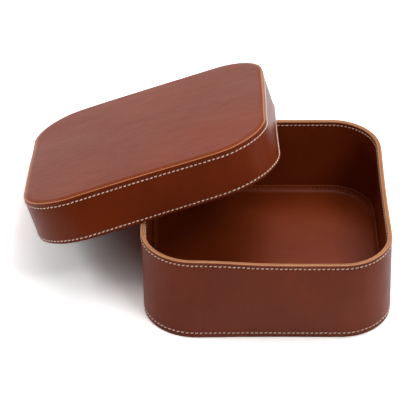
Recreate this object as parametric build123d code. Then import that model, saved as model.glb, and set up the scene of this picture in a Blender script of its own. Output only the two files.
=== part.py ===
from build123d import *
import os

# Stationery box in saddle leather: a square base with round corners and a lid that sits askew
# on it. Both are a band of leather with a lining, closed by a moulded panel and saddle stitched.
# The base's floor is one panel turned up inside the lining, and the lid's top is turned down.
# Millimetres, +Z up. The origin is the middle of the base's underside, and the front faces -Y.

# ---- driving dimensions -------------------------------------------------------------------
LEATHER = 2.0            # thickness of every leather layer
BASE_SIDE = 226.0        # outside width and depth of the base
BASE_HEIGHT = 84.0
BASE_CORNER = 47.0       # outside radius of the base's corners in plan
LID_CLEARANCE = 1.5      # gap on each side between the base and the closed lid
LID_HEIGHT = 42.0        # height of the lid's band
CROWN_RISE = 1.2         # how far the lid's top panel stands above the band's upper edge

FLOOR_CLEARANCE = 0.3    # the floor panel hangs this far above the table
FLOOR_FLANGE_TOP = 8.0   # upper cut edge of the floor panel's turned-up flange, above the table
FLOOR_BEND = 3.0         # outside radius where the floor panel turns up
LID_SHOULDER = 2.5       # radius of the lid panel's rolled edge
LID_FLANGE = 10.0        # depth of the lid panel's turned-down flange, from its top
LID_BOARD = 2.5          # thickness of the lid's stiffener
EDGE_ROUND = 0.7         # burnished rounding of the cut edges

THREAD = 0.9             # width of a thread run
THREAD_DEPTH = 0.5       # how deep a thread run lies in its groove
STITCH_PITCH = 4.2
BASE_RIM_STITCH = 4.0    # thread centre below the base's rim
BASE_FOOT_STITCH = 5.2   # thread centre above the table
LID_CROWN_STITCH = 4.5   # thread centre below the upper edge of the lid's band
LID_RIM_STITCH = 3.0     # thread centre above the lid's lower edge

SEAM_GAP = 0.3           # butt joint where the ends of a band meet, at the middle of the back
SEAM_STITCH = 6.0        # length of a stitch across the butt joint
FIT = 0.05               # gap left round an inserted piece

# The lid's rest: three points carry it, the base's left and back rims and the table behind.
LID_YAW = 5.2
LID_ROLL = -18.08        # about Y, right side up
LID_PITCH = -15.79       # about X, back side down
LID_PLACE = (-100.1, 64.9, 59.02)   # middle of the lid's lower edge plane

# ---- worked out ---------------------------------------------------------------------------
BASE_INNER = BASE_SIDE - 2 * LEATHER
BASE_HOLLOW = BASE_INNER - 2 * LEATHER
BASE_TRAY = BASE_HOLLOW - 2 * LEATHER       # width and depth between the floor panel's flanges
LID_SIDE = BASE_SIDE + 2 * (LID_CLEARANCE + 2 * LEATHER)
LID_CORNER = BASE_CORNER + (LID_SIDE - BASE_SIDE) / 2
LID_INNER = LID_SIDE - 2 * LEATHER
LID_HOLLOW = LID_INNER - 2 * LEATHER
LID_TOP = LID_HEIGHT + CROWN_RISE
LID_FLANGE_FOOT = LID_TOP - LID_FLANGE
LID_CEILING = LID_TOP - 2 * LEATHER - LID_BOARD


def corner_of(side, whole_side, whole_corner):
    """Corner radius of an outline that lies parallel inside the whole one."""
    return whole_corner - (whole_side - side) / 2


def block(side, corner, low, high):
    """Square block with round corners, between two heights."""
    return Pos(0, 0, low) * extrude(RectangleRounded(side, side, corner), high - low)


def band(side, corner, thickness, low, high):
    """Closed band that follows the outline, `thickness` thick inwards."""
    inner = block(side - 2 * thickness, corner - thickness, low - 1, high + 1)
    return block(side, corner, low, high) - inner


def turned_down_panel(side, corner, low, high, shoulder):
    """Leather panel whose edge is rolled down into a flange."""
    skin = block(side, corner, low, high)
    skin = fillet(skin.edges().group_by(Axis.Z)[-1], shoulder)
    core = block(side - 2 * LEATHER, corner - LEATHER, low - 1, high - LEATHER)
    core = fillet(core.edges().group_by(Axis.Z)[-1], shoulder - LEATHER)
    return skin - core


def turned_up_panel(side, corner, low, high, bend):
    """Leather panel whose edge is turned up into a flange."""
    skin = block(side, corner, low, high)
    skin = fillet(skin.edges().group_by(Axis.Z)[0], bend)
    core = block(side - 2 * LEATHER, corner - LEATHER, low + LEATHER, high + 1)
    core = fillet(core.edges().group_by(Axis.Z)[0], bend - LEATHER)
    return skin - core


def groove_run(side, corner, centre):
    """The space that a thread run takes in the outer face of a band."""
    return band(side, corner, THREAD_DEPTH, centre - THREAD / 2, centre + THREAD / 2)


def inner_groove_run(side, corner, centre):
    """The space that a thread run takes in the inner face of a band with that inner outline."""
    grown = side + 2 * THREAD_DEPTH
    return band(grown, corner + THREAD_DEPTH, THREAD_DEPTH, centre - THREAD / 2, centre + THREAD / 2)


def seam_bars(back, low, high):
    """Stitches across the butt joint in the outer face of the back."""
    count = int((high - low) // STITCH_PITCH)
    first = (low + high) / 2 - (count - 1) * STITCH_PITCH / 2
    bar = Box(SEAM_STITCH, THREAD_DEPTH, THREAD)
    return [Pos(0, back - THREAD_DEPTH / 2, first + i * STITCH_PITCH) * bar for i in range(count)]


def seam_slot(back, low, high):
    """The hairline gap between the two ends of a band."""
    return Pos(0, back - LEATHER / 2, (low + high) / 2) * Box(SEAM_GAP, LEATHER + 1, high - low + 2)


def rim_edges(solid, level, side):
    """The edges of a band at one height that follow the outline of the given side."""
    half = side / 2
    found = []
    for edge in solid.edges():
        box = edge.bounding_box()
        if abs(box.min.Z - level) > 1e-3 or abs(box.max.Z - level) > 1e-3:
            continue
        if abs(max(box.max.X, box.max.Y, -box.min.X, -box.min.Y) - half) < 1e-3:
            found.append(edge)
    return found


def build_base():
    """The base's pieces, by node name."""
    inner_corner = corner_of(BASE_INNER, BASE_SIDE, BASE_CORNER)
    hollow_corner = corner_of(BASE_HOLLOW, BASE_SIDE, BASE_CORNER)
    tray_corner = corner_of(BASE_TRAY, BASE_SIDE, BASE_CORNER)
    back = BASE_SIDE / 2
    rim_stitch = BASE_HEIGHT - BASE_RIM_STITCH
    seam_low, seam_high = BASE_FOOT_STITCH + STITCH_PITCH, rim_stitch - STITCH_PITCH

    rim_run = groove_run(BASE_SIDE, BASE_CORNER, rim_stitch)
    rim_run_inside = inner_groove_run(BASE_HOLLOW, hollow_corner, rim_stitch)
    foot_run = groove_run(BASE_SIDE, BASE_CORNER, BASE_FOOT_STITCH)
    foot_run_inside = inner_groove_run(BASE_TRAY, tray_corner, BASE_FOOT_STITCH)
    bars = seam_bars(back, seam_low, seam_high)

    wall = band(BASE_SIDE, BASE_CORNER, LEATHER, 0, BASE_HEIGHT)
    wall = fillet(rim_edges(wall, BASE_HEIGHT, BASE_SIDE), EDGE_ROUND)
    wall = fillet(rim_edges(wall, 0, BASE_SIDE), EDGE_ROUND)
    wall = wall - rim_run - foot_run - seam_slot(back, 0, BASE_HEIGHT) - bars

    lining = band(BASE_INNER, inner_corner, LEATHER, 0, BASE_HEIGHT)
    lining = fillet(rim_edges(lining, BASE_HEIGHT, BASE_HOLLOW), EDGE_ROUND)
    lining = lining - rim_run_inside - seam_slot(back - LEATHER, 0, BASE_HEIGHT)

    floor = turned_up_panel(BASE_HOLLOW, hollow_corner, FLOOR_CLEARANCE, FLOOR_FLANGE_TOP, FLOOR_BEND)
    floor = fillet(rim_edges(floor, FLOOR_FLANGE_TOP, BASE_TRAY), EDGE_ROUND)
    floor = floor - foot_run_inside
    return {
        "base_outer_wall": wall,
        "base_wall_lining": lining,
        "base_floor_panel": floor,
        "base_rim_thread": [rim_run, rim_run_inside],
        "base_foot_thread": [foot_run, foot_run_inside],
        "base_seam_thread": bars,
    }


def build_lid():
    """The lid's pieces, by node name, in the lid's own frame with its lower edge at Z = 0."""
    inner_corner = corner_of(LID_INNER, LID_SIDE, LID_CORNER)
    hollow_corner = corner_of(LID_HOLLOW, LID_SIDE, LID_CORNER)
    back = LID_SIDE / 2
    crown_stitch = LID_HEIGHT - LID_CROWN_STITCH
    seam_low, seam_high = LID_RIM_STITCH + STITCH_PITCH, crown_stitch - STITCH_PITCH

    crown_run = groove_run(LID_SIDE, LID_CORNER, crown_stitch)
    crown_run_inside = inner_groove_run(LID_HOLLOW, hollow_corner, crown_stitch)
    rim_run = groove_run(LID_SIDE, LID_CORNER, LID_RIM_STITCH)
    rim_run_inside = inner_groove_run(LID_HOLLOW, hollow_corner, LID_RIM_STITCH)
    bars = seam_bars(back, seam_low, seam_high)

    wall = band(LID_SIDE, LID_CORNER, LEATHER, 0, LID_HEIGHT)
    wall = fillet(rim_edges(wall, LID_HEIGHT, LID_SIDE), EDGE_ROUND)
    wall = fillet(rim_edges(wall, 0, LID_SIDE), EDGE_ROUND)
    wall = wall - crown_run - rim_run - seam_slot(back, 0, LID_HEIGHT) - bars

    lining = band(LID_INNER, inner_corner, LEATHER, 0, LID_FLANGE_FOOT)
    lining = fillet(rim_edges(lining, 0, LID_HOLLOW), EDGE_ROUND)
    lining = lining - rim_run_inside - seam_slot(back - LEATHER, 0, LID_FLANGE_FOOT)

    top = turned_down_panel(LID_INNER, inner_corner, LID_FLANGE_FOOT, LID_TOP, LID_SHOULDER)
    top = top - crown_run_inside

    board_inset = LID_SHOULDER - LEATHER
    board_low = LID_TOP - LEATHER - LID_BOARD
    board = block(
        LID_HOLLOW - 2 * board_inset, hollow_corner - board_inset, board_low, LID_TOP - LEATHER
    )
    ceiling = block(LID_HOLLOW - 2 * FIT, hollow_corner - FIT, LID_CEILING, board_low)
    return {
        "lid_outer_wall": wall,
        "lid_wall_lining": lining,
        "lid_top_panel": top,
        "lid_stiffener_board": board,
        "lid_ceiling_lining": ceiling,
        "lid_crown_thread": [crown_run, crown_run_inside],
        "lid_rim_thread": [rim_run, rim_run_inside],
        "lid_seam_thread": bars,
    }


def as_list(shape):
    """A piece is one solid, or a list of separate solids."""
    return shape if isinstance(shape, list) else [shape]


lid_location = Pos(*LID_PLACE) * Rot(0, 0, LID_YAW) * Rot(0, LID_ROLL, 0) * Rot(LID_PITCH, 0, 0)

pieces = {name: as_list(shape) for name, shape in build_base().items()}
for name, shape in build_lid().items():
    pieces[name] = [lid_location * solid for solid in as_list(shape)]

os.makedirs("parts", exist_ok=True)
for name, solids in pieces.items():
    node = Compound(children=solids) if len(solids) > 1 else solids[0]
    node.label = name
    export_step(node, f"parts/{name}.step")
    print(name, len(solids))
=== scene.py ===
import math

import bpy
import numpy as np
from mathutils import Matrix, Vector

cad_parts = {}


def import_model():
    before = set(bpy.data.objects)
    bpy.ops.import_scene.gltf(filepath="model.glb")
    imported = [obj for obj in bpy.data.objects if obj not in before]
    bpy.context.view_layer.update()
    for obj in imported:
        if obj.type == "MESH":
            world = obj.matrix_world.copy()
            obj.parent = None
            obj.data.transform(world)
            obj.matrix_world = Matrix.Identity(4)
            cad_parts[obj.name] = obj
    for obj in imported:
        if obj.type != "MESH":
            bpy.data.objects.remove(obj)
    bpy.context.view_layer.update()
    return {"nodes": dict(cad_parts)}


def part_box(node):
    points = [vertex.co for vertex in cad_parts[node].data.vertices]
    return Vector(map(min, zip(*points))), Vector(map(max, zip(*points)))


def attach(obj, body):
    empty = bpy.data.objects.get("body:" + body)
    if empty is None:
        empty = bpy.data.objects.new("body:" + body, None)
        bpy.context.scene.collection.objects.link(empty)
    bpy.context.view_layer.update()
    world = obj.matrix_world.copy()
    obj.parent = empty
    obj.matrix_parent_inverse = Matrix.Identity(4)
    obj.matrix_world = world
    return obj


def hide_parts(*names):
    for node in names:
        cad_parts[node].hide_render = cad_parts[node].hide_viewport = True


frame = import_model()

# A stationery box in saddle leather. The box's lengths are millimetres until make_piece turns them
# into metres. Base pieces are modelled in the row frame. Lid pieces are modelled in the lid's own
# frame, with its lower edge at Z = 0, and are then set down in the pose that the CAD lid has.

# ---- sizes --------------------------------------------------------------------------------
MM = 0.001
wall_low, wall_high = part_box("base_outer_wall")
_, lining_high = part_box("base_wall_lining")
BASE_SIDE = (wall_high.x - wall_low.x) / MM
BASE_HEIGHT = wall_high.z / MM
SKIN = (wall_high.x - lining_high.x) / MM      # thickness of one leather layer
floor_low, floor_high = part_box("base_floor_panel")
FLOOR_UNDER = floor_low.z / MM
FLOOR_TOP = FLOOR_UNDER + SKIN
FLANGE_TOP = floor_high.z / MM                 # the floor panel is turned up along the lining
BASE_CORNER = 47.0         # outside radius in plan

FLOOR_CREASE = 4.5         # inside radius where the floor bends up
FLOOR_WAVE = 0.25          # size of the shallow waves of the floor
FLANGE_WEAR_AND_HIGHLIGHT = 0.15         # how far the flange's cut edge is lightened, partly rubbed-off dye and partly a painted highlight
FLANGE_STITCH_FACE = -3 * SKIN - 0.05      # the inner foot stitches lie a little off the flange

LID_OVERHANG = 5.5         # how far the lid stands out past the base on each side when it is closed
LID_SIDE = BASE_SIDE + 2 * LID_OVERHANG
LID_CORNER = BASE_CORNER + LID_OVERHANG
LID_CORNER_TAPER = 4.5     # the corners are this much rounder below, and this much tighter above
LID_HEIGHT = 42.0          # height of the lid's band
LID_TOP = 43.3             # height of the edge of the lid's top
LID_SHOULDER = 4.0         # width of the rolled edge of the lid's top
LID_SHOULDER_DROP = 1.8    # its height
LID_FLANGE = 10.0          # depth of the flange of the lid's top, from LID_TOP
SHOULDER_WEAR_AND_HIGHLIGHT = 0.55       # how far the rolled edge is lightened, partly rubbed-off dye and partly a painted highlight
WEAR_AND_HIGHLIGHT_INSET = 0.5           # it is lightest this far in from the top's outside
WEAR_AND_HIGHLIGHT_REACH = 0.9           # how far to each side of that
LID_ANGLES = (-15.79, -18.08, 5.2)             # degrees about X, then Y, then Z
LID_PLACE = (-100.1, 64.9, 59.02)              # middle of the lid's lower edge

PITCH = 4.2                # from one stitch to the next
BASE_RIM_STITCH = 3.7      # below the rim
BASE_FOOT_STITCH = 5.2     # above the table
LID_CROWN_STITCH = 4.5     # below the band's upper edge
LID_RIM_STITCH = 3.0       # above the lid's lower edge
INNER_RIM_DROP = 0.4       # the base's inner rim stitches lie this much lower than the outer ones
SLANT = 7                  # of a stitch on an outer face, in degrees
STEPS_PER_STITCH = 6       # mesh stations along a band for each stitch
PANEL_STATIONS = 288       # mesh stations round the lid's top

THREAD = 1.05              # width of a thread
THREAD_FLAT = 0.8          # its thickness as a share of its width
PLY_DEPTH = 0.09           # how far its two plies stand out, as a share of its radius
PLY_TWIST = 5.2            # how far they turn over a whole stitch, in radians
STITCH_SIDES = 10          # points round a stitch
STITCH_RINGS = 9           # rings of points along a stitch
STITCH_POINTS = STITCH_SIDES * STITCH_RINGS
STITCH_GAP = 1.4           # leather left showing between two stitches
STITCH_PROUD = 0.25        # a thread's middle stands this far out of the leather's face
STITCH_DIVE = 0.62         # a stitch's ends go down this far into their holes
LENGTH_UNEVEN = 0.02       # spread of the stitches' lengths, as a share
SLANT_UNEVEN = 1.6         # spread of their slants, in degrees
PLACE_UNEVEN = (0.04, 0.05)                    # spreads of their heights
SEAM_STITCH = 5.6          # length of a stitch across a butt joint
SEAM_SLOPE = 0.5           # its +X end is this much higher than the other
SEAM_SLOPE_UNEVEN = 0.05   # spread of these slopes
SEAM_PROUD = 0.1           # its middle stands this far out of the leather's face
GROOVE_DEPTH = 0.36
GROOVE_HALF = 1.15         # half the width of a stitch groove
HOLE_DEPTH = 0.6
HOLE_REACH = 0.62          # how far along the groove a stitch hole reaches
HOLE_ACROSS = 0.42         # how far across it reaches, as a share of GROOVE_HALF
HOLE_PAINTED_SHADE = 0.45           # how far a stitch hole's edge is darkened, a painted shade
SEAM_DEPTH = 0.55          # a band is moved in this far at its butt joint
SEAM_REACH = 0.22          # how far to each side of the joint
SEAM_STATIONS = (0.15, 0.35)                   # extra mesh stations beside the joint
EDGE_ROUND = 0.7           # rounding of a lower cut edge
EDGE_CROWN = 0.06          # how far an upper cut edge is domed
EDGE_CLEAR = 4.0           # straight rows that nobody sees stop this far from an edge
GROOVE_CLEAR = 1.0         # straight rows stop this far from a groove
WAVES = (7, 11, 16, 23)    # numbers of shallow waves round a band
BASE_WAVE = 0.28           # size of the shallow waves along the base's band
LID_WAVE = 0.18
LAYER_GAP = 0.18           # between the two leather layers of a band

# How far the leather stands out from a true square with round corners, and how far the lid's upper
# edge is lifted. Each side has three places, where it leaves one corner, in its middle, and where
# it meets the next corner. The sides are the back, left, front and right.
BASE_FOOT_GIVE = ((-0.5, 0.0, -0.5), (-1.5, -2.0, 1.0), (1.5, 1.0, 1.5), (2.0, 1.5, 0.5))
BASE_RIM_GIVE = ((0.0, 0.0, 1.0), (1.0, 3.0, 2.5), (-3.0, 1.5, 2.0), (-0.5, -1.5, -1.0))
LID_RIM_GIVE = ((1.0, 1.0, 1.0), (1.0, 1.0, 2.0), (2.5, 3.5, 4.0), (1.0, 0.5, 1.0))
LID_CROWN_GIVE = ((0.0, 3.5, 3.5), (0.0, 0.5, 0.5), (-1.5, 0.0, 3.0), (0.0, 1.0, 1.0))
LID_LIFT = ((0.5, 0.5, 1.0), (0.0, 0.5, 0.5), (0.5, 0.5, 0.0), (0.5, 0.5, 0.0))
FLAT = ((0.0,),)
LID_DOME = 1.0             # the middle of the lid's top stands this much higher than its edges

rng = np.random.default_rng(11)


# ---- outlines -----------------------------------------------------------------------------
def outline_at(side, corner, along):
    """Points and outward normals on a square with round corners, from the middle of the back."""
    flat = side / 2 - corner
    arc = math.pi / 2 * corner
    quarter = 2 * flat + arc
    quarters = np.floor(along / quarter)
    turn, rest = quarters.astype(int) % 4, along - quarters * quarter
    angle = np.clip(rest - flat, 0, arc) / corner
    before = np.minimum(rest, flat)
    after = np.maximum(rest - flat - arc, 0)
    normal = np.stack([-np.sin(angle), np.cos(angle)], 1)
    point = np.stack([-before, np.full_like(along, flat)], 1) + corner * normal
    point[:, 1] -= after
    for k in range(1, 4):
        late = turn >= k
        point[late] = np.stack([-point[late, 1], point[late, 0]], 1)
        normal[late] = np.stack([-normal[late, 1], normal[late, 0]], 1)
    return point, normal


def around(values, share):
    """A smooth closed curve through values that are evenly spaced, the second at the back's middle."""
    values = np.ravel(values)
    place = share * len(values) + 1
    first = np.floor(place).astype(int)
    t = place - first
    a, b, c, d = (values[(first + k) % len(values)] for k in (-1, 0, 1, 2))
    return b + (c - a) * t / 2 + (2 * a - 5 * b + 4 * c - d) * t**2 / 2 + (3 * b - a - 3 * c + d) * t**3 / 2


class Wall:
    """The shape of one band of leather: its lower and its upper outline at the same stations."""

    def __init__(self, side, corners, height, gives, lift, wave, panel_stations=0):
        self.side, self.height = side, height
        flats = [side / 2 - c for c in corners]
        self.lengths = [8 * f + 2 * math.pi * c for f, c in zip(flats, corners)]
        self.stitches = round(sum(self.lengths) / 2 / PITCH)
        stations = panel_stations or self.stitches * STEPS_PER_STITCH
        self.share = np.arange(stations) / stations
        if not panel_stations:
            near_seam = np.array(SEAM_STATIONS) / self.lengths[0]
            self.share = np.sort(np.concatenate([self.share, near_seam, 1 - near_seam]))
        self.outlines = []
        for corner, length, give in zip(corners, self.lengths, gives):
            point, normal = outline_at(side, corner, self.share * length)
            self.outlines.append((point + normal * around(give, self.share)[:, None], normal))
        self.lift = around(lift, self.share)
        self.wave = self.undulation(wave)

    def undulation(self, size):
        """Shallow waves along the band, from leather that was bent by hand."""
        total = np.zeros(len(self.share))
        for count in WAVES:
            total += math.sqrt(5 / count) * np.cos(2 * math.pi * (count * self.share + rng.random()))
        return size * total / 2

    def holes(self):
        """1 at a stitch hole, falling to 0 beside it."""
        away = (self.share * self.stitches + 0.5) % 1 - 0.5
        return np.exp(-((away * PITCH / HOLE_REACH) ** 2))

    def seam(self):
        """1 at the butt joint in the middle of the back, falling to 0 beside it."""
        away = np.minimum(self.share, 1 - self.share) * self.lengths[0]
        return np.exp(-((away / SEAM_REACH) ** 2))

    def at(self, outward, height):
        """The band's points and outward normals at one height.

        The points are moved outward by a number, or by one number per station.
        """
        h = min(max(height / self.height, 0), 1)
        point = (1 - h) * self.outlines[0][0] + h * self.outlines[1][0]
        normal = (1 - h) * self.outlines[0][1] + h * self.outlines[1][1]
        normal = normal / np.linalg.norm(normal, axis=1)[:, None]
        swell = self.wave * math.sin(math.pi * h)
        moved = point + normal * (np.asarray(outward) + swell).reshape(-1, 1)
        z = height + h * self.lift
        return np.concatenate([moved, z.reshape(-1, 1)], 1), normal


# ---- meshes -------------------------------------------------------------------------------
def grid_faces(rows, columns):
    """Quads between rows of stations. Each row is closed, and the last is joined to the first."""
    row, column = np.arange(rows), np.arange(columns)
    low, high = row[:, None] * columns, ((row + 1) % rows)[:, None] * columns
    right = (column + 1) % columns
    quads = np.stack([low + column, low + right, high + right, high + column], 2)
    return quads.reshape(-1, 4).tolist()


def lid_matrix():
    """From the lid's own frame to the row frame, in millimetres."""
    x, y, z = (math.radians(a) for a in LID_ANGLES)
    turn = Matrix.Rotation(z, 4, "Z") @ Matrix.Rotation(y, 4, "Y") @ Matrix.Rotation(x, 4, "X")
    return Matrix.Translation(LID_PLACE) @ turn


def make_piece(name, points, faces, place, body, slot, material, replaced, **marks):
    """A smooth mesh object in the row frame, with its leather coordinates as an attribute."""
    points = np.asarray(points, float)
    if body == "lid":
        m = np.array(lid_matrix())
        points = points @ m[:3, :3].T + m[:3, 3]
    mesh = bpy.data.meshes.new(name)
    mesh.from_pydata((points * MM).tolist(), [], faces)
    mesh.polygons.foreach_set("use_smooth", [True] * len(mesh.polygons))
    spread = mesh.attributes.new("place", "FLOAT_VECTOR", "POINT")
    spread.data.foreach_set("vector", (np.asarray(place, float) * MM).ravel())
    for label, values in marks.items():
        kept = mesh.attributes.new(label, "FLOAT", "POINT")
        kept.data.foreach_set("value", np.asarray(values, float).ravel())
    mesh.validate()
    mesh.update()
    piece = bpy.data.objects.new(name, mesh)
    bpy.context.scene.collection.objects.link(piece)
    mesh.materials.append(material)
    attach(piece, body)
    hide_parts(*replaced)


def band_piece(name, wall, profile, body, slot, material, replaced):
    """Sweeps a closed profile round a wall. A profile row is (outward, height, hole, edge)."""
    rows, places, edges = [], [], []
    holes, seam = wall.holes(), wall.seam()
    for outward, height, hole, edge in profile:
        # At the butt joint every row moves in, except those of an inner groove, which move out.
        facing = -1 if hole < 0 else 1
        sink = abs(hole) * HOLE_DEPTH * holes + SEAM_DEPTH * seam
        points, _ = wall.at(outward - facing * sink, height)
        rows.append(points)
        along = wall.share * wall.lengths[0]
        places.append(np.stack([np.full_like(along, height), along, np.full_like(along, outward)], 1))
        # Stitch holes are darkened through the edge mark, a painted shade.
        edges.append(np.maximum(edge, HOLE_PAINTED_SHADE * abs(hole) * holes))
    faces = grid_faces(len(rows), len(wall.share))
    make_piece(
        name, np.concatenate(rows), faces, np.concatenate(places), body, slot, material, replaced,
        edge=np.concatenate(edges),
    )


def groove(face, centre, facing, upward):
    """Profile rows of a stitch groove in a face, running up or down."""
    rows = []
    for step in np.linspace(-1, 1, 9):
        depth = GROOVE_DEPTH * (0.5 + 0.5 * math.cos(math.pi * step)) ** 0.8
        hole = facing * math.exp(-((step / HOLE_ACROSS) ** 2))
        rows.append((face - facing * depth, centre + step * GROOVE_HALF, hole, 0.0))
    return rows if upward else rows[::-1]


def rounded(outward, height, radius, start, end, bare, elsewhere=0.0):
    """Profile rows of a rounded cut edge about a centre, from one angle to another in degrees.

    The leather's tan inside shows between the two bare angles.
    """
    rows = []
    for angle in np.radians(np.linspace(start, end, 6)):
        edge = 1.0 if math.radians(bare[0]) < angle < math.radians(bare[1]) else elsewhere
        rows.append((outward + radius * math.cos(angle), height + radius * math.sin(angle), 0.0, edge))
    return rows


def upper_edge(outer, inner, top, rounds, bare):
    """Profile rows over a burnished upper edge, from its outer to its inner face."""
    high, low = outer - rounds[0], inner + rounds[1]
    rows = rounded(high, top - rounds[0], rounds[0], 0, 80, bare)
    rows += [(high + (low - high) * t, top + EDGE_CROWN, 0.0, 1.0) for t in (0.3, 0.7)]
    return rows + rounded(low, top - rounds[1], rounds[1], 100, 180, bare)


def lower_edge(outer, inner):
    """Profile rows round a lower edge at height 0, from its inner to its outer face."""
    # Round the rest of a lower edge the leather is darkened a little, a painted shade.
    bare, elsewhere = (250, 290), 0.3
    rows = rounded(inner + EDGE_ROUND, EDGE_ROUND, EDGE_ROUND, 180, 260, bare, elsewhere)
    return rows + rounded(outer - EDGE_ROUND, EDGE_ROUND, EDGE_ROUND, 280, 360, bare, elsewhere)


def plain(face, low, high, count):
    """Profile rows straight along a face."""
    return [(face, z, 0.0, 0.0) for z in np.linspace(low, high, count)]


# ---- threads ------------------------------------------------------------------------------
def stitch_shape():
    """A stitch 1 long about its middle as (along, outward, up) rows, with the twist of its plies."""
    rows = []
    # The thread narrows towards its ends, which dive into their holes.
    for t in np.linspace(-1, 1, STITCH_RINGS):
        taper = math.sqrt(max(1 - abs(t) ** 5, 0.12))
        dive = STITCH_DIVE * abs(t) ** 4
        for k in range(STITCH_SIDES):
            angle = 2 * math.pi * k / STITCH_SIDES
            ply = 1 + PLY_DEPTH * math.cos(2 * angle + PLY_TWIST * t)
            across = THREAD / 2 * taper * ply
            outward = THREAD_FLAT * across * math.cos(angle) - dive
            rows.append((t / 2, outward, across * math.sin(angle)))
    return np.array(rows)


def stitch_faces(count):
    """Faces of `count` closed stitches that follow each other in one mesh."""
    faces = []
    for first in range(0, count * STITCH_POINTS, STITCH_POINTS):
        last = first + STITCH_POINTS - STITCH_SIDES
        for ring in range(first, last, STITCH_SIDES):
            for k in range(STITCH_SIDES):
                a, b = ring + k, ring + (k + 1) % STITCH_SIDES
                faces.append((a, a + STITCH_SIDES, b + STITCH_SIDES, b))
        faces.append(tuple(range(first, first + STITCH_SIDES)))
        faces.append(tuple(range(last + STITCH_SIDES - 1, last - 1, -1)))
    return faces


def stitch_line(wall, face, height, facing, slant):
    """Points of all stitches of one line. Facing is 1 on the outer face and -1 on the inner."""
    surface, normal = wall.at(face, height)
    share = np.append(wall.share, 1.0)
    surface, normal = np.vstack([surface, surface[:1]]), np.vstack([normal, normal[:1]])
    middle = (np.arange(wall.stitches) + 0.5) / wall.stitches
    half = 0.5 / wall.stitches
    centre = np.stack([np.interp(middle, share, surface[:, i]) for i in range(3)], 1)
    before = np.stack([np.interp(middle - half, share, surface[:, i]) for i in range(3)], 1)
    after = np.stack([np.interp(middle + half, share, surface[:, i]) for i in range(3)], 1)
    out = np.stack([np.interp(middle, share, normal[:, i]) for i in range(2)], 1)
    out = np.concatenate([out / np.linalg.norm(out, axis=1)[:, None], np.zeros((len(out), 1))], 1)
    span = np.linalg.norm(after - before, axis=1)
    tangent = (after - before) / span[:, None]
    up = np.cross(tangent, out)
    up *= np.sign(up[:, 2:3])
    shape = stitch_shape()
    length = (span - STITCH_GAP) * (1 + rng.normal(0, LENGTH_UNEVEN, wall.stitches))
    angle = np.radians(slant + rng.normal(0, SLANT_UNEVEN, wall.stitches))
    lift = sum(rng.normal(0, size, wall.stitches) for size in PLACE_UNEVEN)
    t = shape[None, :, 0] * length[:, None]
    n = np.broadcast_to(shape[None, :, 1], t.shape) + STITCH_PROUD
    v = shape[None, :, 2] + t * np.tan(angle)[:, None] + lift[:, None]
    points = (
        centre[:, None] + t[..., None] * tangent[:, None]
        + facing * n[..., None] * out[:, None] + v[..., None] * up[:, None]
    )
    return points.reshape(-1, 3)


def thread_piece(name, wall, runs, body, material, replaced):
    """The stitches of one line, on the faces where they show.

    A run is (face, height, facing, slant, darkening), and its darkening of 0 to 1 makes the thread darker.
    """
    parts, faces, darkenings = [], [], []
    for face, height, facing, slant, darkening in runs:
        first = len(darkenings) * STITCH_POINTS
        parts.append(stitch_line(wall, face, height, facing, slant))
        darkenings += [darkening] * wall.stitches
        # On an inner face the stitches are mirrored, so their faces turn the other way.
        for corners in stitch_faces(wall.stitches):
            faces.append(tuple(first + corner for corner in corners[::facing]))
    points = np.concatenate(parts)
    shade = np.repeat(rng.random(len(darkenings)) - 2 * np.array(darkenings), STITCH_POINTS)
    make_piece(name, points, faces, points, body, "linen_thread", material, replaced, shade=shade)


def seam_thread(name, wall, low, high, body, material, replaced):
    """Stitches across the butt joint in the middle of the back."""
    along, outward, up = stitch_shape().T
    count = int((high - low) // PITCH)
    first = (low + high) / 2 - (count - 1) * PITCH / 2
    parts = []
    for i in range(count):
        surface, _ = wall.at(0, first + i * PITCH)
        x, y, z = surface[0]
        slope = SEAM_SLOPE + rng.normal(0, SEAM_SLOPE_UNEVEN)
        across = [along * SEAM_STITCH + x, y + outward + SEAM_PROUD, z + up + along * slope]
        parts.append(np.stack(across, 1))
    points = np.concatenate(parts)
    shade = np.repeat(rng.random(count), STITCH_POINTS)
    faces = [corners[::-1] for corners in stitch_faces(count)]
    make_piece(name, points, faces, points, body, "linen_thread", material, replaced, shade=shade)


# ---- panels -------------------------------------------------------------------------------
def to_middle(outward, height):
    """Panel rows from near its edge to its middle, the last ones as shares of the outline."""
    insets, shares = (2.5, 6, 11, 17), (0.86, 0.72, 0.58, 0.44, 0.3, 0.17, 0.06)
    rows = [(outward - inset, height, 0, 1) for inset in insets]
    return rows + [(outward - insets[-1], height, 0, share) for share in shares]


def bend(outward, low, radius):
    """Panel rows down round a quarter bend, from an upright flange to the floor."""
    rows = []
    for angle in np.radians(np.linspace(0, 90, 10)):
        inset, rise = radius * (1 - math.cos(angle)), radius * (1 - math.sin(angle))
        rows.append((outward - inset, low + rise, 0, 1))
    return rows


def panel_piece(name, wall, over, under, surface, body, material, replaced):
    """A moulded panel inside a wall. A row is (outward, height, wear and highlight, share of the outline).

    The rows over it go from its rim to its middle, and the rows under it go back to the rim.
    """
    count = len(wall.share)
    rings, wears = [], []
    for outward, z, wear, share in over + under:
        ring, _ = wall.at(outward, z)
        ring[:, :2] *= share
        x, y = (ring[:, :2] / (wall.side / 2)).T
        ring[:, 2] = z + wall.lift * share**2 + surface(x, y)
        rings.append(ring)
        wears += [wear] * count
    faces = grid_faces(len(rings), count)
    # The two rows in the middle of the panel are capped instead of joined.
    ring = (len(over) - 1) * count
    del faces[ring:ring + count]
    faces += [list(range(ring, ring + count)), list(range(ring + 2 * count - 1, ring + count - 1, -1))]
    points = np.concatenate(rings)
    # A panel's cut edge is dyed, so no tan shows anywhere on it.
    make_piece(
        name, points, faces, points, body, "saddle_leather", material, replaced,
        wear=wears, edge=np.zeros(len(points)),
    )


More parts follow.
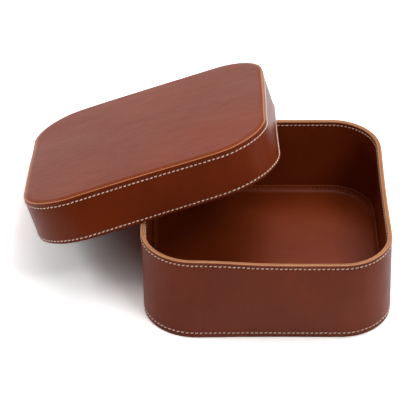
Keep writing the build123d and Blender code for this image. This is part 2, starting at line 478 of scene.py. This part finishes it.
# ---- materials ----------------------------------------------------------------------------
LEATHER_DEEP = (0.159, 0.0200, 0.0017, 1.0)
LEATHER_LIGHT = (0.222, 0.0296, 0.0030, 1.0)
PANEL_DEEP = (0.174, 0.0220, 0.0019, 1.0)
PANEL_LIGHT = (0.237, 0.0328, 0.0034, 1.0)
FLOOR_DEEP = (0.211, 0.0295, 0.0038, 1.0)
FLOOR_LIGHT = (0.288, 0.0437, 0.0066, 1.0)
LINING_DEEP = (0.163, 0.0250, 0.0037, 1.0)
LINING_LIGHT = (0.222, 0.0366, 0.0062, 1.0)
UNDER_DEEP = (0.082, 0.0110, 0.0015, 1.0)
UNDER_LIGHT = (0.115, 0.0170, 0.0026, 1.0)
PORE_DARK = (0.044, 0.0074, 0.0022, 1.0)
# Lighter leather, partly wear and partly a painted highlight on rolled edges.
WORN_AND_HIGHLIGHT = (0.333, 0.0890, 0.0267, 1.0)
# Darker leather beside cut edges, partly burnished and partly painted shade, and painted shade in stitch
# holes and round lower edges.
EDGE_BURNISH_AND_SHADE = (0.074, 0.0133, 0.0044, 1.0)
BASE_TAN = ((0.489, 0.196, 0.0800, 1.0), (0.652, 0.311, 0.1520, 1.0))
LID_TAN = ((0.455, 0.140, 0.0540, 1.0), (0.600, 0.225, 0.1020, 1.0))
TAN_BURNT = (0.341, 0.1180, 0.0407, 1.0)
THREAD_DEEP = (0.96, 0.62, 0.48, 1.0)
THREAD_LIGHT = (1.00, 0.77, 0.65, 1.0)
# A darker thread colour, used for the inner foot stitches.
THREAD_DARKER = (0.280, 0.075, 0.0380, 1.0)
BOARD_TONES = ((0.20, 0.19, 0.17, 1.0), (0.42, 0.40, 0.36, 1.0))


class Nodes:
    """A small helper that makes and links the nodes of one material."""

    def __init__(self, name):
        self.material = bpy.data.materials.new(name)
        self.material.use_nodes = True
        self.tree = self.material.node_tree
        self.tree.nodes.clear()

    @classmethod
    def of(cls, tree):
        made = cls.__new__(cls)
        made.material, made.tree = None, tree
        tree.nodes.clear()
        return made

    def add(self, kind, inputs=None, **settings):
        made = self.tree.nodes.new(kind)
        for key, value in settings.items():
            setattr(made, key, value)
        for key, value in (inputs or {}).items():
            if isinstance(value, bpy.types.NodeSocket):
                self.tree.links.new(value, made.inputs[key])
            else:
                made.inputs[key].default_value = value
        return made

    def noise(self, vector, scale, detail=2.0, roughness=0.5, distortion=0.0):
        return self.add(
            "ShaderNodeTexNoise",
            {"Vector": vector, "Scale": scale, "Detail": detail, "Roughness": roughness,
             "Distortion": distortion},
        ).outputs["Fac"]

    def stretched(self, vector, x, y, z):
        return self.add("ShaderNodeMapping", {"Vector": vector, "Scale": (x, y, z)}).outputs["Vector"]

    def spread(self, value, low, high, to_low, to_high):
        return self.add(
            "ShaderNodeMapRange",
            {"Value": value, "From Min": low, "From Max": high, "To Min": to_low, "To Max": to_high},
        ).outputs["Result"]

    def math(self, operation, a, b):
        return self.add("ShaderNodeMath", {0: a, 1: b}, operation=operation).outputs[0]

    def mix(self, factor, a, b):
        return self.add("ShaderNodeMix", {0: factor, 6: a, 7: b}, data_type="RGBA").outputs[2]

    def mix_value(self, factor, a, b):
        return self.add("ShaderNodeMix", {0: factor, 2: a, 3: b}, data_type="FLOAT").outputs[0]

    def mix_shader(self, factor, a, b):
        return self.add("ShaderNodeMixShader", {0: factor, 1: a.outputs[0], 2: b.outputs[0]})

    def bump(self, height, strength, distance, below=None):
        inputs = {"Height": height, "Strength": strength, "Distance": distance}
        if below is not None:
            inputs["Normal"] = below
        return self.add("ShaderNodeBump", inputs).outputs["Normal"]

    def finish(self, shader):
        self.add("ShaderNodeOutputMaterial", {"Surface": shader})
        return self.material


def attribute(nodes, name, output):
    return nodes.add("ShaderNodeAttribute", attribute_name=name).outputs[output]


def leather(name, deep, light, gloss, tan=None, wear=False, by_attribute=True, shine=0.2):
    """Smooth saddle leather: mottled dye, fine pores and creases, and tan where it was cut.

    Noise scales are per metre, and bump distances are metres.
    """
    n = Nodes(name)
    if by_attribute:
        place = attribute(n, "place", "Vector")
    else:
        place = n.add("ShaderNodeTexCoord").outputs["Object"]
    # The dye is mottled at three sizes. The finer two are drawn out up a band, or along X on a panel.
    broad = n.noise(place, 13, 3, 0.55)
    middling = n.noise(n.stretched(place, 38, 100, 100), 1.0, 4, 0.6, 0.4)
    fine = n.noise(n.stretched(place, 240, 460, 460), 1.0, 3, 0.6)
    dye = n.math("ADD", n.math("MULTIPLY", broad, 0.6), n.math("MULTIPLY", middling, 0.25))
    dye = n.math("ADD", dye, n.math("MULTIPLY", fine, 0.15))
    colour = n.mix(n.spread(dye, 0.33, 0.67, 0.0, 1.0), deep, light)
    # Pores are small dark pits. Worn places are lighter, partly from wear and partly as a painted
    # highlight.
    pores = n.add(
        "ShaderNodeTexVoronoi", {"Vector": place, "Scale": 1150.0, "Randomness": 1.0}
    ).outputs["Distance"]
    pits = n.spread(pores, 0.0, 0.34, 0.0, 1.0)
    colour = n.mix(n.spread(pits, 0.0, 1.0, 0.2, 0.0), colour, PORE_DARK)
    if wear:
        rubbed_and_highlight = n.math("MULTIPLY", attribute(n, "wear", "Fac"), n.spread(fine, 0.3, 0.7, 0.6, 1.0))
        colour = n.mix(rubbed_and_highlight, colour, WORN_AND_HIGHLIGHT)
    rough = n.spread(n.math("ADD", middling, fine), 0.7, 1.3, gloss + 0.04, gloss - 0.03)
    creases = n.noise(n.stretched(place, 520, 760, 760), 1.0, 4, 0.62, 0.8)
    # A cut edge is bare in its middle, with fibres and darker patches. Beside it the leather is darker,
    # partly burnished and partly painted shade.
    if tan:
        fray = n.noise(n.stretched(place, 1500, 240, 1500), 1.0, 3, 0.6)
        edge = n.math("ADD", attribute(n, "edge", "Fac"), n.spread(fray, 0.3, 0.7, -0.16, 0.16))
        cut = n.spread(edge, 0.5, 0.66, 0.0, 1.0)
        burnish_and_shade = n.spread(edge, 0.12, 0.45, 0.0, 0.75)
        fibres = n.noise(n.stretched(place, 2400, 110, 2400), 1.0, 4, 0.7)
        patches = n.noise(n.stretched(place, 60, 26, 60), 1.0, 2, 0.5)
        bare = n.mix(n.spread(fibres, 0.3, 0.72, 0.0, 1.0), *tan)
        bare = n.mix(n.spread(patches, 0.35, 0.75, 0.0, 0.35), bare, TAN_BURNT)
        colour = n.mix(burnish_and_shade, colour, EDGE_BURNISH_AND_SHADE)
        colour = n.mix(cut, colour, bare)
    grain = n.bump(pits, 0.16, 0.00012)
    grain = n.bump(creases, 0.22, 0.00030, grain)
    grain = n.bump(n.noise(place, 60, 2, 0.5), 0.25, 0.0012, grain)
    shader = n.add(
        "ShaderNodeBsdfPrincipled",
        {"Base Color": colour, "Roughness": rough, "Normal": grain,
         "Specular IOR Level": shine, "IOR": 1.48},
    )
    return n.finish(shader.outputs[0])


def thread_material():
    """Waxed linen: off-white, a little uneven from stitch to stitch."""
    n = Nodes("waxed_linen")
    place = attribute(n, "place", "Vector")
    shade = attribute(n, "shade", "Fac")
    fluff = n.noise(place, 1400, 3, 0.6)
    mixed = n.math("ADD", n.math("MULTIPLY", shade, 0.6), n.math("MULTIPLY", fluff, 0.5))
    colour = n.mix(n.spread(mixed, 0.1, 0.95, 0.0, 1.0), THREAD_DEEP, THREAD_LIGHT)
    # A shade below zero gives a darker stitch.
    colour = n.mix(n.spread(shade, -1.2, 0.0, 1.0, 0.0), colour, THREAD_DARKER)
    normal = n.bump(fluff, 0.5, 0.0002)
    shader = n.add(
        "ShaderNodeBsdfPrincipled",
        {"Base Color": colour, "Roughness": 0.62, "Normal": normal, "Sheen Weight": 0.15},
    )
    return n.finish(shader.outputs[0])


def board_material():
    """Grey bookbinder's board, flecked with fibres."""
    n = Nodes("bookbinders_board")
    place = n.add("ShaderNodeTexCoord").outputs["Object"]
    flecks = n.noise(n.stretched(place, 500, 1900, 900), 1.0, 5, 0.7)
    cloud = n.noise(place, 40, 3, 0.5)
    mixed = n.math("ADD", n.math("MULTIPLY", flecks, 0.6), n.math("MULTIPLY", cloud, 0.4))
    colour = n.mix(n.spread(mixed, 0.35, 0.65, 0.0, 1.0), *BOARD_TONES)
    shader = n.add(
        "ShaderNodeBsdfPrincipled",
        {"Base Color": colour, "Roughness": 0.9, "Normal": n.bump(flecks, 0.4, 0.0003)},
    )
    return n.finish(shader.outputs[0])


base_leather = leather("base_saddle_leather", LEATHER_DEEP, LEATHER_LIGHT, 0.33, tan=BASE_TAN)
lid_leather = leather("lid_saddle_leather", LEATHER_DEEP, LEATHER_LIGHT, 0.33, tan=LID_TAN)
lid_top_leather = leather("lid_top_leather", PANEL_DEEP, PANEL_LIGHT, 0.33, wear=True, shine=0.17)
floor_leather = leather(
    "floor_leather", FLOOR_DEEP, FLOOR_LIGHT, 0.42, tan=BASE_TAN, wear=True, shine=0.3
)
lining_leather = leather("lining_leather", LINING_DEEP, LINING_LIGHT, 0.40, tan=BASE_TAN)
hidden_leather = leather("under_leather", UNDER_DEEP, UNDER_LIGHT, 0.5, by_attribute=False)
linen = thread_material()
board = board_material()


# ---- base ---------------------------------------------------------------------------------
base_wall = Wall(
    BASE_SIDE, (BASE_CORNER, BASE_CORNER), BASE_HEIGHT, (BASE_FOOT_GIVE, BASE_RIM_GIVE), FLAT, BASE_WAVE,
)
rim_stitch = BASE_HEIGHT - BASE_RIM_STITCH


def base_pieces():
    """The base's wall, lining, stitches and floor."""
    clear = GROOVE_HALF + GROOVE_CLEAR
    profile = groove(0, BASE_FOOT_STITCH, 1, True)
    profile += plain(0, BASE_FOOT_STITCH + clear, rim_stitch - clear, 16)
    profile += groove(0, rim_stitch, 1, True)
    profile += upper_edge(0, -SKIN, BASE_HEIGHT, rounds=(0.75, 0.5), bare=(8, 168))
    profile += plain(-SKIN, BASE_HEIGHT - EDGE_CLEAR, EDGE_CLEAR, 8)
    profile += lower_edge(0, -SKIN)
    band_piece("base_wall_leather", base_wall, profile, "base", "saddle_leather", base_leather,
               ["base_outer_wall"])

    outer, inner = -SKIN - LAYER_GAP, -2 * SKIN
    profile = plain(outer, 1, BASE_HEIGHT - EDGE_CLEAR, 8)
    profile += upper_edge(outer, inner, BASE_HEIGHT, rounds=(0.35, 1.35), bare=(8, 172))
    profile += groove(inner, rim_stitch, -1, False)
    profile += plain(inner, rim_stitch - clear, EDGE_CLEAR, 16)
    profile += lower_edge(outer, inner)
    band_piece("base_lining_leather", base_wall, profile, "base", "lining_leather", lining_leather,
               ["base_wall_lining"])

    thread_piece("base_rim_stitches", base_wall,
                 [(0, rim_stitch, 1, SLANT, 0), (inner, rim_stitch - INNER_RIM_DROP, -1, -SLANT, 0)],
                 "base", linen, ["base_rim_thread"])
    # The inner foot stitches get the darker thread colour.
    thread_piece("base_foot_stitches", base_wall,
                 [(0, BASE_FOOT_STITCH, 1, SLANT, 0),
                  (FLANGE_STITCH_FACE, BASE_FOOT_STITCH, -1, -SLANT, 1)],
                 "base", linen, ["base_foot_thread"])
    seam_thread("base_seam_stitches", base_wall, BASE_FOOT_STITCH + PITCH, rim_stitch - PITCH,
                "base", linen, ["base_seam_thread"])

    def floor_waves(x, y):
        return FLOOR_WAVE * np.sin(3.1 * x + 1.0) * np.cos(2.3 * y - 0.4) * (1 - x**4) * (1 - y**4)

    # The floor's edge bends up into a flange against the lining. The flange's cut edge is dyed, and
    # lightened a little, partly wear and partly a painted highlight.
    outer, inner = -2 * SKIN - LAYER_GAP / 2, -3 * SKIN
    flange = upper_edge(outer, inner, FLANGE_TOP, rounds=(0.3, 0.6), bare=(20, 172))
    over = [(outward, height, FLANGE_WEAR_AND_HIGHLIGHT * edge, 1) for outward, height, _, edge in flange]
    over += bend(inner, FLOOR_TOP, FLOOR_CREASE) + to_middle(inner - FLOOR_CREASE, FLOOR_TOP)
    under = to_middle(inner - FLOOR_CREASE, FLOOR_UNDER)[::-1]
    under += bend(outer, FLOOR_UNDER, FLOOR_CREASE + SKIN)[::-1]
    panel_piece("base_floor_leather", base_wall, over, under, floor_waves, "base", floor_leather,
                ["base_floor_panel"])


base_pieces()

# ---- lid ----------------------------------------------------------------------------------
lid_shape = (
    LID_SIDE, (LID_CORNER + LID_CORNER_TAPER, LID_CORNER - LID_CORNER_TAPER), LID_HEIGHT,
    (LID_RIM_GIVE, LID_CROWN_GIVE), LID_LIFT,
)
lid_wall = Wall(*lid_shape, LID_WAVE)
crown_stitch = LID_HEIGHT - LID_CROWN_STITCH
flange_foot = LID_TOP - LID_FLANGE


def lid_pieces():
    """The lid's wall, lining, stitches and top."""
    clear = GROOVE_HALF + GROOVE_CLEAR
    profile = groove(0, LID_RIM_STITCH, 1, True)
    profile += plain(0, LID_RIM_STITCH + clear, crown_stitch - clear, 12)
    profile += groove(0, crown_stitch, 1, True)
    profile += upper_edge(0, -SKIN, LID_HEIGHT, rounds=(0.7, 0.3), bare=(40, 168))
    profile += plain(-SKIN, LID_HEIGHT - EDGE_CLEAR, EDGE_CLEAR, 6)
    profile += lower_edge(0, -SKIN)
    band_piece("lid_wall_leather", lid_wall, profile, "lid", "saddle_leather", lid_leather,
               ["lid_outer_wall"])

    outer, inner = -SKIN - LAYER_GAP, -2 * SKIN
    profile = plain(outer, 1.5, flange_foot, 6)
    profile += plain(inner, flange_foot, LID_RIM_STITCH + clear, 8)
    profile += groove(inner, LID_RIM_STITCH, -1, False)
    profile += lower_edge(outer, inner)
    band_piece("lid_lining_leather", lid_wall, profile, "lid", "lining_leather", lining_leather,
               ["lid_wall_lining"])

    thread_piece("lid_crown_stitches", lid_wall, [(0, crown_stitch, 1, SLANT, 0)], "lid", linen,
                 ["lid_crown_thread"])
    thread_piece("lid_rim_stitches", lid_wall,
                 [(0, LID_RIM_STITCH, 1, SLANT, 0), (inner, LID_RIM_STITCH, -1, -SLANT, 0)],
                 "lid", linen, ["lid_rim_thread"])
    seam_thread("lid_seam_stitches", lid_wall, LID_RIM_STITCH + PITCH, crown_stitch - PITCH,
                "lid", linen, ["lid_seam_thread"])

    def top_surface(x, y):
        return LID_DOME * (1 - x**2) * (1 - y**2)

    # Up the flange's outer face, round the rolled edge and across the top.
    middle = (flange_foot + LID_TOP - LID_SHOULDER_DROP) / 2
    over = [(-SKIN, z, 0, 1) for z in (flange_foot, flange_foot + 0.3, middle)]
    for angle in np.radians(np.linspace(0, 90, 13)):
        inset = LID_SHOULDER * (1 - math.cos(angle))
        drop = LID_SHOULDER_DROP * (1 - math.sin(angle))
        # The rolled edge is lighter near its crest, partly wear and partly a painted highlight.
        wear = SHOULDER_WEAR_AND_HIGHLIGHT * math.exp(-(((inset - WEAR_AND_HIGHLIGHT_INSET) / WEAR_AND_HIGHLIGHT_REACH) ** 2))
        over.append((-SKIN - inset, LID_TOP - drop, wear, 1))
    over += to_middle(-SKIN - LID_SHOULDER, LID_TOP)
    # The underside lies one layer in. Rows that would fall on one another are kept once.
    under = []
    for outward, z, _, share in over[::-1]:
        row = (round(min(outward, -2 * SKIN), 3), round(min(z, LID_TOP - SKIN), 3), 0, share)
        if row not in under:
            under.append(row)
    panel_piece("lid_top_leather", Wall(*lid_shape, 0.0, PANEL_STATIONS), over, under, top_surface,
                "lid", lid_top_leather, ["lid_top_panel"])


lid_pieces()

for node, material in (("lid_ceiling_lining", hidden_leather), ("lid_stiffener_board", board)):
    for slot in frame["nodes"][node].material_slots:
        slot.material = material


# ---- stage, light and camera --------------------------------------------------------------
FLOOR_REACH = 6.0          # metres from the origin to the floor's edges
FLOOR_LEVEL = -0.0002      # metres, a little under the base
FLOOR_WHITE = 1.60         # the floor's colour to the camera, beside and behind the box
FLOOR_FRONT = 2.12         # the same in front of the box, brighter there as painted light over the box's shadow
TABLE_SHEEN = 1.1          # the table's brightness in reflections
TABLE_SHEEN_RIGHT = 0.55   # share of it that is left behind the box on its right
WALL_WHITE = 1.0           # strength of the fill from behind
WALL_SHEEN = 0.78          # the wall's brightness in reflections
LAMP_AIM = (-0.03, 0.03, 0.06)                 # metres, the point that every lamp faces


def floor_material():
    """White to the camera, pale in the light it throws back, and a lit table in reflections."""
    n = Nodes("pale_floor")
    path = n.add("ShaderNodeLightPath")
    position = n.add("ShaderNodeNewGeometry").outputs["Position"]
    place = n.add("ShaderNodeSeparateXYZ", {"Vector": position})
    x, y = place.outputs["X"], place.outputs["Y"]
    pale = n.add("ShaderNodeBsdfDiffuse", {"Color": (0.8, 0.8, 0.8, 1)})
    # In front of the box the camera sees a brighter floor, painted light over the box's shadow.
    white = n.add("ShaderNodeBsdfDiffuse", {"Color": n.spread(y, -0.14, -0.02, FLOOR_FRONT, FLOOR_WHITE)})
    # Far from the lamps the camera sees plain white.
    apart = n.add("ShaderNodeVectorMath", {0: position}, operation="LENGTH").outputs["Value"]
    plain_white = n.add("ShaderNodeEmission", {"Color": (1, 1, 1, 1), "Strength": 1.0})
    white = n.mix_shader(n.spread(apart, 0.4, 0.75, 0.0, 1.0), white, plain_white)
    # In reflections the table is bright round the box and far behind it, and dark elsewhere.
    ahead, behind = n.math("MINIMUM", y, 0.0), n.math("MAXIMUM", y, 0.0)
    aside = n.math("ADD", x, 0.09)
    aside_squared = n.math("MULTIPLY", n.math("MULTIPLY", aside, aside), 1.6)
    away = n.math("SQRT", n.math("ADD", aside_squared, n.math("MULTIPLY", ahead, ahead)), 0.0)
    away = n.math("SUBTRACT", away, n.math("MULTIPLY", behind, 0.45))
    # Near the base's front the table is brighter in reflections, painted light over the box's shadow there.
    close = n.math("MINIMUM", n.spread(y, -0.17, -0.13, 1.0, 2.4),
                   n.spread(n.math("ABSOLUTE", x, 0.0), 0.06, 0.12, 2.4, 1.0))
    sheen = n.math("MULTIPLY", n.spread(away, 0.34, 0.5, TABLE_SHEEN, 0.0), close)
    # The lid's right side mirrors the table behind the box, which is dimmer there.
    mirrored = n.math("MULTIPLY", n.spread(x, -0.06, 0.0, 0.0, 1.0), n.spread(y, 0.1, 0.16, 0.0, 1.0))
    sheen = n.math("MULTIPLY", sheen, n.spread(mirrored, 0.0, 1.0, 1.0, TABLE_SHEEN_RIGHT))
    table = n.add("ShaderNodeBsdfDiffuse", {"Color": sheen})
    mixed = n.mix_shader(path.outputs["Is Glossy Ray"], pale, table)
    mixed = n.mix_shader(path.outputs["Is Camera Ray"], mixed, white)
    return n.finish(mixed.outputs[0])


def backdrop():
    """A pale floor that shows white to the camera and keeps the object's shadow."""
    mesh = bpy.data.meshes.new("floor")
    square = ((-1, -1), (1, -1), (1, 1), (-1, 1))
    corners = [(x * FLOOR_REACH, y * FLOOR_REACH, FLOOR_LEVEL) for x, y in square]
    mesh.from_pydata(corners, [], [(0, 1, 2, 3)])
    mesh.materials.append(floor_material())
    floor = bpy.data.objects.new("floor", mesh)
    bpy.context.scene.collection.objects.link(floor)


def world():
    """White to the camera, a white wall behind the box in reflections, and a soft fill from it."""
    made = bpy.data.worlds.new("studio")
    bpy.context.scene.world = made
    made.use_nodes = True
    n = Nodes.of(made.node_tree)
    path = n.add("ShaderNodeLightPath")
    direction = n.add("ShaderNodeTexCoord").outputs["Generated"]
    # In reflections the wall is brighter on the left than on the right.
    parts = n.add("ShaderNodeSeparateXYZ", {"Vector": direction})
    behind = n.spread(parts.outputs["Y"], -0.1, 0.9, 0.0, 1.0)
    across = n.spread(parts.outputs["X"], -0.3, 0.45, WALL_SHEEN, 0.2 * WALL_SHEEN)
    sheen = n.math("MULTIPLY", behind, across)
    strength = n.math("MULTIPLY", behind, WALL_WHITE)
    strength = n.mix_value(path.outputs["Is Glossy Ray"], strength, sheen)
    strength = n.mix_value(path.outputs["Is Camera Ray"], strength, 1.0)
    light = n.add("ShaderNodeBackground", {"Color": (1, 1, 1, 1), "Strength": strength})
    n.add("ShaderNodeOutputWorld", {"Surface": light.outputs[0]})


def area_light(name, azimuth, elevation, distance, size, power):
    """A softbox that faces the box. Azimuth 0 is along +X and 90 is behind the box."""
    aim = Vector(LAMP_AIM)
    a, e = math.radians(azimuth), math.radians(elevation)
    away = Vector((math.cos(a) * math.cos(e), math.sin(a) * math.cos(e), math.sin(e)))
    data = bpy.data.lights.new(name, "AREA")
    data.shape = "RECTANGLE"
    data.size, data.size_y = size
    data.energy = power
    lamp = bpy.data.objects.new(name, data)
    bpy.context.scene.collection.objects.link(lamp)
    lamp.location = aim + away * distance
    lamp.rotation_mode = "QUATERNION"
    lamp.rotation_quaternion = (-away).to_track_quat("-Z", "Y")


def camera():
    """The main view: from the front, looking down, with a long lens."""
    # The distance, the target and the sensor are millimetres.
    elevation, turn, roll = math.radians(37.21), math.radians(-0.37), math.radians(0.11)
    distance = 2002.0
    target = Vector((-54.2, 0.0, 61.4))
    focal_pixels, frame_pixels, sensor = 2133.0, 416.0, 36.0
    back = Vector((0, -math.cos(elevation), math.sin(elevation)))
    right = Vector((1, 0, 0))
    up = back.cross(right)
    right, up = (
        math.cos(roll) * right + math.sin(roll) * up, -math.sin(roll) * right + math.cos(roll) * up
    )
    axes = Matrix((right, up, back)).transposed().to_4x4()
    place = Matrix.Rotation(turn, 4, "Z") @ Matrix.Translation((target + back * distance) * MM) @ axes
    data = bpy.data.cameras.new("camera")
    data.sensor_width = sensor
    data.lens = focal_pixels / frame_pixels * sensor
    data.clip_start, data.clip_end = 0.05, 50.0
    made = bpy.data.objects.new("camera", data)
    bpy.context.scene.collection.objects.link(made)
    made.matrix_world = place
    bpy.context.scene.camera = made


backdrop()
world()
# Each lamp's azimuth and elevation in degrees, its distance and size in metres, and its watts.
for lamp_settings in (
    ("key", 57, 62, 1.6, (0.9, 0.5), 8.5),
    ("overhead", 0, 89.9, 1.6, (1.0, 1.0), 4.86),
    ("front", 270, 65, 1.6, (0.8, 0.8), 1.62),
    ("front_right_high", 315, 54, 1.6, (0.3, 0.3), 3.5),
    ("front_right_low", 300, 30, 1.6, (0.3, 0.3), 3.1),
    ("left", 180, 28, 1.7, (0.8, 0.8), 9.6),
    ("right", 0, 14, 1.8, (1.0, 0.6), 7.15),
):
    area_light(*lamp_settings)
camera()
bpy.context.scene.view_settings.view_transform = "Standard"
